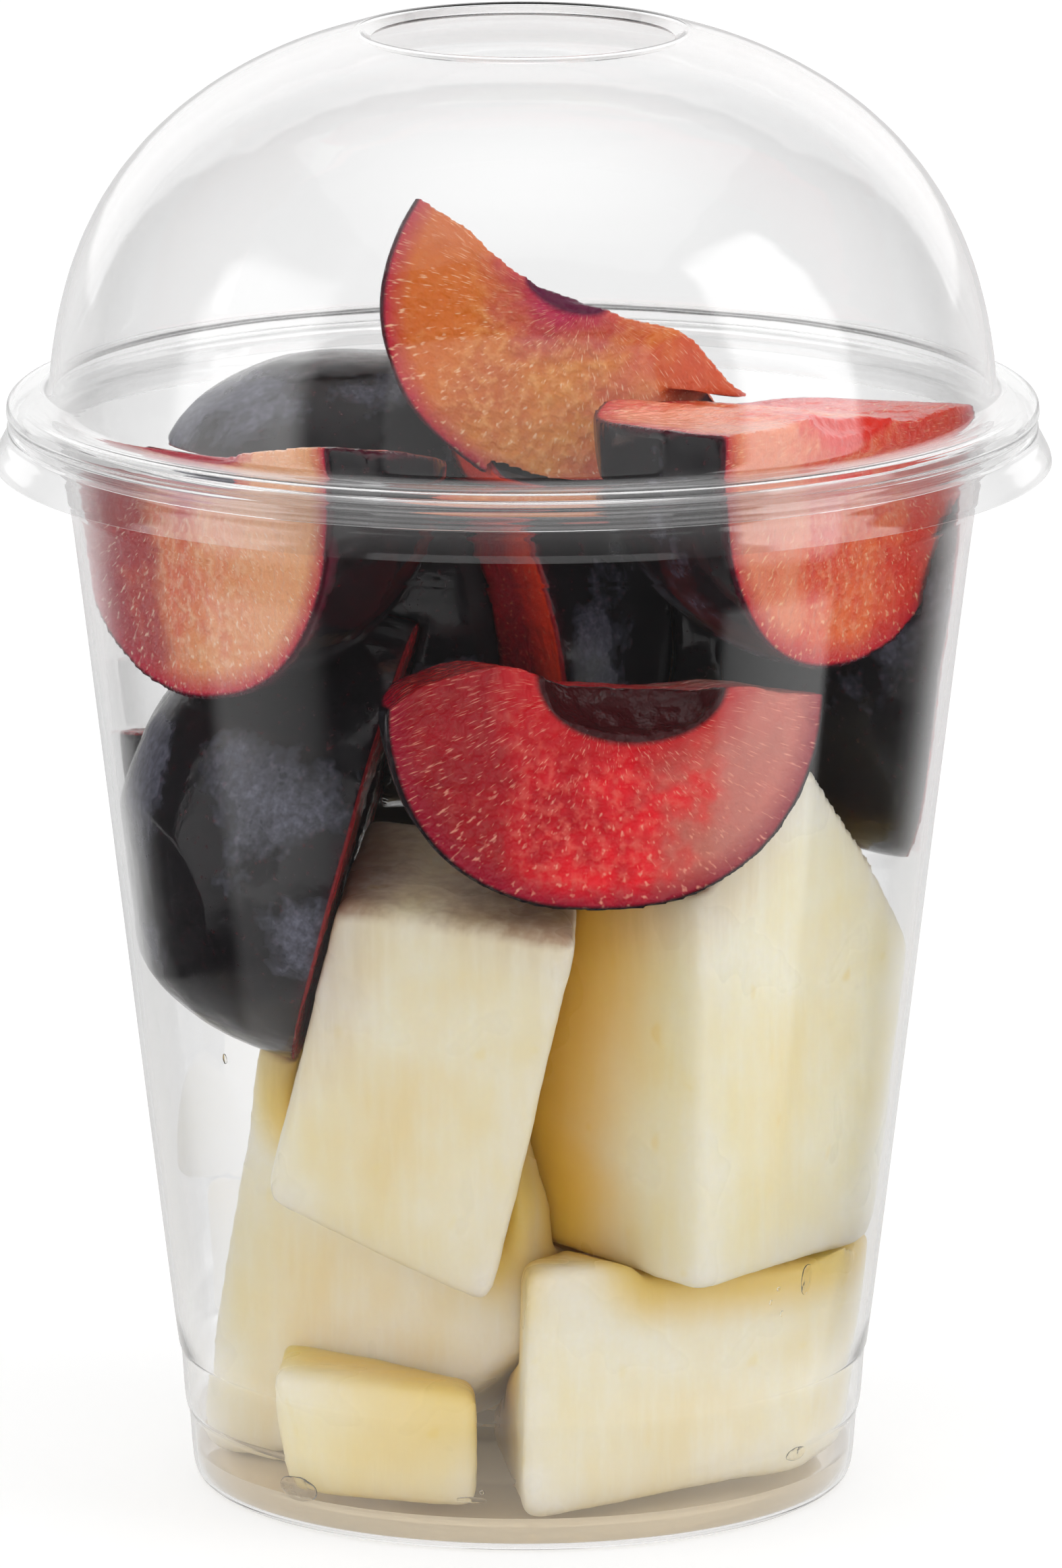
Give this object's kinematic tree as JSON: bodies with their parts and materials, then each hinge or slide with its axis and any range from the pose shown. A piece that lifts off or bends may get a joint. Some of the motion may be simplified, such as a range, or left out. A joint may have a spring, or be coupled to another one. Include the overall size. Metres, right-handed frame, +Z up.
{
  "type": "fruit cup",
  "caption": "Clear plastic drinking cup with a domed lid, filled with pale melon chunks and dark-skinned plum wedges.",
  "frame": {"origin": "middle of the cup's foot, on the surface that it stands on", "axes": "+Z up through the middle of the cup, the dome and its hole; -Y is the front, where the crimson plum wedge lies against the wall; +X is to the right seen from the front"},
  "size_m": [0.1, 0.1, 0.1399],
  "materials": {
    "clear_plastic": "clear formed PET, glossy",
    "amber_plum_flesh": "wet cut plum, amber",
    "orange_plum_flesh": "wet cut plum, orange-pink",
    "crimson_plum_flesh": "wet cut plum, crimson",
    "dark_plum_skin": "blue-black plum skin, wet with patches of bloom",
    "white_melon": "wet cut melon, cream-white",
    "yellow_melon": "wet cut melon, pale yellow"
  },
  "bodies": {
    "root": {"cup": "clear_plastic", "dome_lid": "clear_plastic", "plum_crown": "amber_plum_flesh", "plum_back_right": "amber_plum_flesh", "plum_left": "orange_plum_flesh", "plum_right": "orange_plum_flesh", "plum_front": "crimson_plum_flesh", "plum_upright": "crimson_plum_flesh", "plum_left_half": "dark_plum_skin", "plum_right_upright": "dark_plum_skin", "plum_left_low": "dark_plum_skin", "plum_cheek": "dark_plum_skin", "plum_middle": "dark_plum_skin", "plum_back_left": "dark_plum_skin", "plum_back_low": "dark_plum_skin", "melon_front_left": "white_melon", "melon_left": "white_melon", "melon_bottom_right": "white_melon", "melon_back_left": "white_melon", "melon_bottom_back": "white_melon", "melon_front_right": "yellow_melon", "melon_bottom_left": "yellow_melon", "melon_back_right": "yellow_melon"}
  },
  "joints": []
}
